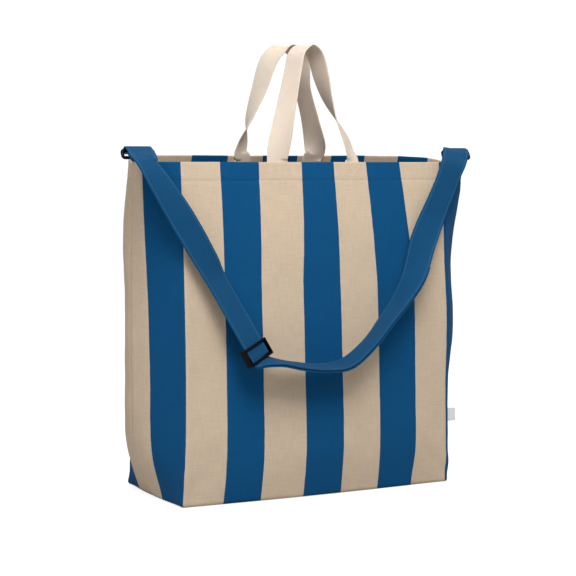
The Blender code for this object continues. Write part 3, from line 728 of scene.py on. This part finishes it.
def make_base():
    """The flat boxed bottom, sagging a little between its edges."""
    inset = 0.0035
    columns = steps(-HALF_CLOTH + 0.006, HALF_CLOTH - 0.006, 0.006)
    shares = np.linspace(0, 1, 37)
    low = np.full(len(columns), LEVELS[0][0])
    ends = []
    for front in (True, False):
        edge = wall(columns, low, front) - wall_normals(columns, low, front) * inset
        ends.append(edge)
    grid = ends[0][None] + (ends[1] - ends[0])[None] * shares[:, None, None]
    rise = 0.0010 * np.sin(np.pi * shares)[:, None] * np.cos(np.pi * columns / (2 * HALF_CLOTH))[None]
    ripple = smooth_noise(grid.reshape(-1, 3) * (16, 16, 1), 20).reshape(rise.shape)
    outer = grid.copy()
    outer[:, :, 2] = 0.0003 + rise * (1 + 0.5 * ripple)
    inner = outer + np.array([0, 0, 0.0014])
    uvs = np.stack([grid[:, :, 0], grid[:, :, 1]], 2)
    base = shell("base_cloth", outer, inner, uvs, MATERIALS["canvas"], flip=True)
    facing_out(base)
    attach(base, "bag")
    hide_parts("base_panel")
    return base


def make_hem_stitching(name, front):
    """Stitches all round the mouth, along the hem's lower edge."""
    s = steps(-HALF_CLOTH + 0.002, HALF_CLOTH - 0.002, 0.002)
    z = np.full(len(s), TOP - HEM + 0.0012)
    points, normals = cloth(s, z, front)
    marks = stripe_marks(s, z, front)
    piece = stitches(name, [(points, normals, marks)], MATERIALS["canvas"], radius=0.00028)
    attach(piece, "bag")
    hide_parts(name)
    return piece


def make_box_stitching(name, x, front):
    """A square with a cross in it, through the panel and the handle's end."""
    half = STITCH_BOX / 2
    middle = TOP - 0.0045 - half
    corners = ((-1, -1), (1, -1), (1, 1), (-1, 1))
    lines = [(corners[i], corners[(i + 1) % 4]) for i in range(4)]
    lines += [(corners[0], corners[2]), (corners[1], corners[3])]
    runs = []
    t = np.linspace(0, 1, 13)
    for (ax, az), (bx, bz) in lines:
        s = x + half * (ax + (bx - ax) * t)
        z = middle + half * (az + (bz - az) * t)
        runs.append(cloth(s, z, front))
    piece = stitches(name, runs, MATERIALS["thread"], length=0.0026, gap=0.0010)
    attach(piece, "bag")
    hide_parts(name)
    return piece


def make_seam_binding(name, side):
    """Bound seam allowance inside the side seam."""
    z = steps(0.006, TOP - 0.003, 0.01)
    seam, _ = cloth(np.full(len(z), HALF_CLOTH), z, True)
    seam[:, 0] *= side
    width = 0.010
    sway = 0.0015 * smooth_noise(np.stack([z * 20, z * 0, z * 0], 1), 5)
    centres = seam + np.array([-side * (width / 2 + 0.0026), 0, 0])
    centres[:, 1] += sway
    lean = np.stack([np.full(len(z), float(side)), sway * 90, z * 0], 1)
    centres, lean = evenly(centres, lean, 0.004)
    piece = ribbon(name, centres, lean, width, 0.0016, MATERIALS["strap"])
    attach(piece, "bag")
    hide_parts(name)
    return piece


# ---- handles --------------------------------------------------------------------------------

def sewn_end(x, front):
    """Points of a handle's end inside the panel, from its cut end up to the mouth."""
    drops = np.array([SEWN_LENGTH, 0.022, 0.011, 0.002])
    points, normals = cloth(np.full(4, x), TOP - drops, front)
    return points - normals * (HEM_CLOTH + WEBBING * 0.65)


def make_handle(name, route, front):
    """One strip of webbing from its sewn end, up and over, to the other sewn end."""
    first, last = sewn_end(route[0][0][0], front), sewn_end(route[-1][0][0], front)
    points = [*first, *[p for p, _ in route], *last[::-1]]
    flat_ends = [180.0 * round(route[end][1] / 180.0) for end in (0, -1)]
    angles = [flat_ends[0]] * 4 + [a for _, a in route] + [flat_ends[1]] * 4
    turns = [(math.radians(a), 0.0, 0.0) for a in angles]
    centres, turned = evenly(points, turns, 0.003)
    widths = np.stack([np.cos(turned[:, 0]), np.sin(turned[:, 0]), turned[:, 1]], 1)
    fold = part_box(name)[0].z
    gathered = np.abs(turned[:, 0]) > math.radians(FOOT_TURN)
    gathered = gathered * bump(centres[:, 2] - fold - 0.008, 0.020)
    width = WEBBING_WIDTH * (1 - FOOT_GATHER * gathered)
    handle = ribbon(name + "_webbing", centres, widths, width, WEBBING, MATERIALS["webbing"],
                    camber=0.0004, ripple=0.0006)
    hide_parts(name, name + "_left_end", name + "_right_end")
    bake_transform(handle)
    return handle


# ---- rings, tabs and strap ------------------------------------------------------------------

def arc(centre, radius, start, turn, x, count):
    """Points round a bar along X; angles in degrees, 0 towards +Y and 90 up."""
    points = []
    for step in range(count + 1):
        a = math.radians(start + turn * step / count)
        points.append(Vector((x, centre.y + radius * math.cos(a), centre.z + radius * math.sin(a))))
    return points


def make_ring(name, side):
    """A rectangle of wire with rounded corners, between the tab's bar and the strap's bar."""
    up = (STRAP_BAR - TAB_BAR).normalized()
    reach = (RING_INNER_WIDTH + RING_WIRE) / 2 - RING_BEND
    path = []
    for bar, cx, cz, angle in ((TAB_BAR, 1, 1, -90), (STRAP_BAR, 1, -1, 0),
                               (STRAP_BAR, -1, -1, 90), (TAB_BAR, -1, 1, 180)):
        for step in range(9):
            a = math.radians(angle + 90 * step / 8)
            across = side * RING_X + cx * reach + RING_BEND * math.cos(a)
            path.append(bar + Vector((across, 0, 0)) + up * RING_BEND * (math.sin(a) + cz))
    ring = tube(name + "_wire", path, RING_WIRE_DRAWN, 16, MATERIALS["metal"])
    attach(ring, name)
    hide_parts(name)
    return ring


def make_tab(name, side):
    """The folded strip that holds the ring's lower bar, sewn inside the side wall."""
    x = side * TAB_X
    loop = arc(TAB_BAR, TAB_BAR_RADIUS, 180, -180, x, 14)
    outer = loop[0] - UP * TAB_LENGTH
    inner = loop[-1] - UP * TAB_LENGTH - Vector((0, 0.0036, 0))
    middle = loop[-1] - UP * 0.009 - Vector((0, 0.0034, 0))
    points = [outer, outer.lerp(loop[0], 0.5), *loop, middle, inner]
    centres, widths = evenly(points, [(1.0, 0.0, 0.0)] * len(points), 0.0008)
    tab = ribbon(name, centres, widths, TAB_WIDTH, TAB_CLOTH, MATERIALS["strap"])
    share = np.linspace(0, 1, 12)[:, None]
    left = np.array(inner + Vector((-0.009, 0.0007, 0.003)))
    right = np.array(inner + Vector((0.009, 0.0007, 0.003)))
    outward = np.tile([0.0, 1.0, 0.0], (12, 1))
    runs = []
    for rise in (0, 0.008):
        runs.append((left + (right - left) * share + np.array([0, 0, rise]), outward))
    tack = stitches(name + "_tack", runs, MATERIALS["blue_thread"])
    for piece, slot, node in ((tab, "strap_canvas", name),
                              (tack, "stitch_thread", name + "_stitching")):
        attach(piece, "bag")
        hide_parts(node)


def strap_route():
    """Route and width directions of the long ply between its two ring loops."""
    stations = list(STRAP_LEFT)
    for share in (-1.0, -0.66, -0.33, 0.0):
        stations.append((SLIDER_CENTRE + SLIDER_RUN * STRAIGHT_ABOVE * share, SLIDER_ACROSS))
    for share in (0.5, 1.0):
        stations.append((SLIDER_CENTRE + SLIDER_RUN * STRAIGHT_BELOW * share, SLIDER_ACROSS))
    stations += STRAP_RIGHT
    points = [tuple(p) for p, _ in stations]
    turns = [tuple(w) for _, w in stations]
    return evenly(points, turns, 0.003)


def behind(centres, widths, distance):
    """The same route moved square to the cloth, to its back."""
    _, _, face = strip_frames(centres, widths)
    return centres - face * distance


def make_strap():
    """The long ply, from its sewn loop at the left ring to round the right ring."""
    centres, widths = strap_route()
    left = arc(STRAP_BAR, STRAP_BAR_RADIUS, 290, 190, -RING_X, 14)
    right = arc(STRAP_BAR, STRAP_BAR_RADIUS, 120, -190, RING_X, 14)
    under = behind(centres, widths, PLY_SPACING)[:9:2]
    points = [*under[::-1], *left, *centres, *right]
    turns = [*widths[:9:2][::-1], *[(1.0, 0.0, 0.0)] * len(left), *widths,
             *[(-1.0, 0.0, 0.0)] * len(right)]
    route, across = evenly([tuple(p) for p in points], [tuple(w) for w in turns], 0.0025)
    strap = ribbon("shoulder_strap_cloth", route, across, STRAP_WIDTH, STRAP, MATERIALS["strap"],
                   ripple=0.0004)
    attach(strap, "shoulder_strap")
    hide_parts("shoulder_strap")


def make_loop_stitching():
    """The square of stitches that closes the strap's loop at the left ring."""
    centres, widths = strap_route()
    _, across, face = strip_frames(centres, widths)
    top = centres + face * (STRAP / 2)
    rows = slice(3, 9)
    runs = []
    for share in (-0.72, 0.72):
        runs.append((top[rows] + across[rows] * share * STRAP_WIDTH / 2, face[rows]))
    t = np.linspace(-0.72, 0.72, 10)[:, None]
    for index in (3, 8):
        line = top[index] + across[index] * t * STRAP_WIDTH / 2
        runs.append((line, np.tile(face[index], (10, 1))))
    piece = stitches("strap_loop_stitches", runs, MATERIALS["blue_thread"])
    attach(piece, "shoulder_strap")
    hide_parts("strap_loop_stitching")


def slider_axes():
    """The slider's own directions: along the strap, across it and out of its face."""
    run = SLIDER_RUN
    across = (SLIDER_ACROSS - run * SLIDER_ACROSS.dot(run)).normalized()
    return run, across, run.cross(across).normalized()


def centre_bar_bend():
    """The loop's route round the slider's centre bar, from its front to its back."""
    run, _, face = slider_axes()
    bar = SLIDER_CENTRE - face * CENTRE_BAR_DEPTH
    bend = [bar + face * LOOP_RADIUS + run * 0.006]
    for step in range(9):
        a = math.radians(90 + 180 * step / 8)
        bend.append(bar + LOOP_RADIUS * (run * math.cos(a) + face * math.sin(a)))
    bend.append(bar - face * LOOP_RADIUS + run * 0.010)
    return bend


def make_return_ply():
    """The doubled ply, from the right ring back to its loop round the slider's centre bar.

    The last stretch, round the slider's centre bar, is made as a piece of its own.
    """
    centres, widths = strap_route()
    run, across, _ = slider_axes()
    back = behind(centres, widths, PLY_SPACING)
    keep = [i for i in range(len(back)) if (Vector(back[i]) - SLIDER_CENTRE).dot(run) > 0.014
            and centres[i][0] > SLIDER_CENTRE.x]
    points = [tuple(back[i]) for i in keep[::-1]]
    turns = [tuple(widths[i]) for i in keep[::-1]]
    bend = centre_bar_bend()
    points += [tuple(p) for p in bend]
    turns += [tuple(across)] * len(bend)
    route, sideways = evenly(points, turns, 0.0020)
    split = int(np.argmax(route[:, 0] < LOOP_STRETCH))
    plies = []
    for name, node, part in (("strap_return_cloth", "strap_return_ply", slice(0, split + 1)),
                             ("slider_loop_cloth", "slider_loop", slice(split, None))):
        ply = ribbon(name, route[part], sideways[part], STRAP_WIDTH, STRAP * 0.9, MATERIALS["strap"])
        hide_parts(node)
        plies.append(ply)
    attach(plies[0], "shoulder_strap")
    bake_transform(plies[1])


def slider_boxes():
    """Centre and size of each bar, in the slider's own frame: two rails, two ends, the centre."""
    depth = CENTRE_BAR_DEPTH + SLIDER_FACE + SLIDER_PLATE / 2 + 0.0012
    rail = SLIDER_FACE + SLIDER_PLATE / 2 - depth / 2
    boxes = []
    for s in (-1, 1):
        boxes.append(((s * (SLIDER_WIDTH - SLIDER_BAR) / 2, 0, rail),
                      (SLIDER_BAR, SLIDER_LENGTH, depth)))
    for s in (-1, 1):
        boxes.append(((0, s * (SLIDER_LENGTH - SLIDER_BAR) / 2, SLIDER_FACE),
                      (SLIDER_WIDTH - 0.001, SLIDER_BAR, SLIDER_PLATE)))
    boxes.append(((0, 0, -CENTRE_BAR_DEPTH), (SLIDER_WIDTH - 0.002, 0.0024, 0.0024)))
    return boxes


def rounded_box(centre, size, place):
    """A box with rounded edges, put in place."""
    shape = bmesh.new()
    bmesh.ops.create_cube(shape, size=1.0)
    bmesh.ops.transform(shape, matrix=Matrix.Translation(centre) @ Matrix.Diagonal((*size, 1)),
                        verts=shape.verts)
    bmesh.ops.bevel(shape, geom=shape.edges, offset=0.0009, segments=3, profile=0.5,
                    affect="EDGES")
    bmesh.ops.transform(shape, matrix=place, verts=shape.verts)
    mesh = bpy.data.meshes.new("slider_bar")
    shape.to_mesh(mesh)
    shape.free()
    part = bpy.data.objects.new("slider_bar", mesh)
    bpy.context.scene.collection.objects.link(part)
    return part


def united(parts):
    """One mesh of all the parts, which are used up."""
    first = parts[0]
    for other in parts[1:]:
        join = first.modifiers.new("join", "BOOLEAN")
        join.operation = "UNION"
        join.object = other
    bpy.context.view_layer.update()
    joined = first.evaluated_get(bpy.context.evaluated_depsgraph_get())
    mesh = bpy.data.meshes.new_from_object(joined)
    for part in parts:
        bpy.data.objects.remove(part, do_unlink=True)
    return mesh


def make_slider():
    """A cast frame of two rails and two end bars, with a centre bar for the sewn loop."""
    run, across, face = slider_axes()
    place = Matrix((across, run, face)).transposed().to_4x4()
    place.translation = SLIDER_CENTRE
    mesh = united([rounded_box(centre, size, place) for centre, size in slider_boxes()])
    mesh.materials.clear()
    mesh.materials.append(MATERIALS["metal"])
    mesh.shade_smooth()
    mesh.set_sharp_from_angle(angle=math.radians(35))
    slider = bpy.data.objects.new("strap_slider_frame", mesh)
    bpy.context.scene.collection.objects.link(slider)
    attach(slider, "strap_slider")
    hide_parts("strap_slider")


def make_label():
    """A blank folded flag of woven tape in the right seam."""
    start, _ = cloth([HALF_CLOTH], [LABEL_Z], True)
    t = np.linspace(0, 1, 6)[:, None]
    out = start[0] + np.array([LABEL_LENGTH, 0, 0]) * t + np.array([0, 0.002, 0]) * np.sin(t * 3)
    out -= np.array([LABEL_IN_SEAM, 0, 0])
    back = out[::-1] + np.array([0, 0.0011, 0])
    tip = out[-1] + np.array([0.0006, 0.00055, 0])
    points = [*out, tip, *back]
    centres, widths = evenly([tuple(p) for p in points], [(0.0, 0.0, 1.0)] * len(points), 0.0008)
    label = ribbon("side_label_tape", centres, widths, LABEL_HEIGHT, 0.0006, MATERIALS["label"])
    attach(label, "bag")
    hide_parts("side_label")


# ---- studio ---------------------------------------------------------------------------------

def make_camera():
    """The photo's viewing angle, to the left of the front and a little above it."""
    data = bpy.data.cameras.new("camera")
    data.lens = LENS
    data.sensor_width = 36.0
    data.clip_start = 0.1
    data.clip_end = 50.0
    yaw, tilt = math.radians(CAMERA_YAW), math.radians(CAMERA_TILT)
    level = math.cos(tilt)
    ahead = Vector((math.sin(yaw) * level, math.cos(yaw) * level, -math.sin(tilt)))
    camera = bpy.data.objects.new("camera", data)
    camera.location = LOOK_AT - ahead * CAMERA_DISTANCE
    camera.rotation_euler = ahead.to_track_quat("-Z", "Y").to_euler()
    bpy.context.scene.collection.objects.link(camera)
    bpy.context.scene.camera = camera


def make_light(name, place, size, power):
    """A square white softbox that faces the bag."""
    data = bpy.data.lights.new(name, "AREA")
    data.size = size
    data.energy = power
    light = bpy.data.objects.new(name, data)
    light.location = place
    light.rotation_euler = (LOOK_AT - Vector(place)).to_track_quat("-Z", "Y").to_euler()
    bpy.context.scene.collection.objects.link(light)


def make_floor():
    """A plain pale floor that looks white to the camera but lights the bag little."""
    bpy.ops.mesh.primitive_plane_add(size=24.0, location=(0.0, 6.0, -0.0006))
    floor = bpy.context.object
    floor.name = "floor"
    graph = Graph("floor")
    place = graph.node("ShaderNodeTexCoord", output=3)
    cloudy = graph.node("ShaderNodeTexNoise", inputs=(("Vector", place), ("Scale", 3.0)))
    graph.put(graph.mix(cloudy, (0.50, 0.50, 0.50, 1), (0.52, 0.52, 0.52, 1)),
              graph.shader.inputs["Base Color"])
    path = graph.node("ShaderNodeLightPath")
    glow = graph.node("ShaderNodeMapRange",
                      inputs=((0, path), (3, FLOOR_GLOW[0]), (4, FLOOR_GLOW[1])))
    graph.shader.inputs["Emission Color"].default_value = (1, 1, 1, 1)
    graph.put(glow, graph.shader.inputs["Emission Strength"])
    floor.data.materials.append(graph.finish(0.9, specular=0.1))


def make_world():
    """White to the camera, and a softer white as light."""
    world = bpy.data.worlds.new("studio")
    bpy.context.scene.world = world
    world.use_nodes = True
    tree = world.node_tree
    background = tree.nodes["Background"]
    background.inputs["Color"].default_value = (1, 1, 1, 1)
    path = tree.nodes.new("ShaderNodeLightPath")
    strength = tree.nodes.new("ShaderNodeMapRange")
    strength.inputs[3].default_value = WORLD_STRENGTH[0]
    strength.inputs[4].default_value = WORLD_STRENGTH[1]
    tree.links.new(path.outputs["Is Camera Ray"], strength.inputs[0])
    tree.links.new(strength.outputs[0], background.inputs["Strength"])


def make_studio():
    """Camera, background, floor and lights."""
    make_camera()
    make_world()
    make_floor()
    for light in LIGHTS:
        make_light(*light)
    bpy.context.scene.view_settings.view_transform = "Standard"


def main():
    """Build every piece round the frame, and then the studio."""
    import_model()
    make_materials()
    front = make_panel("front_panel", True)
    back = make_panel("back_panel", False)
    base = make_base()
    for name, is_front in (("front", True), ("back", False)):
        make_hem_stitching(f"{name}_hem_stitching", is_front)
    for name, route, is_front in (("front_handle", FRONT_HANDLE, True),
                                  ("back_handle", BACK_HANDLE, False)):
        make_handle(name, route, is_front)
        for side, x in (("left", route[0][0][0]), ("right", route[-1][0][0])):
            make_box_stitching(f"{name}_{side}_stitching", x, is_front)
    for side, sign in (("left", -1), ("right", 1)):
        make_seam_binding(f"{side}_seam_binding", sign)
        make_tab(f"{side}_ring_tab", sign)
        make_ring(f"{side}_ring", sign)
    make_strap()
    make_loop_stitching()
    make_return_ply()
    make_slider()
    make_label()
    make_studio()


main()
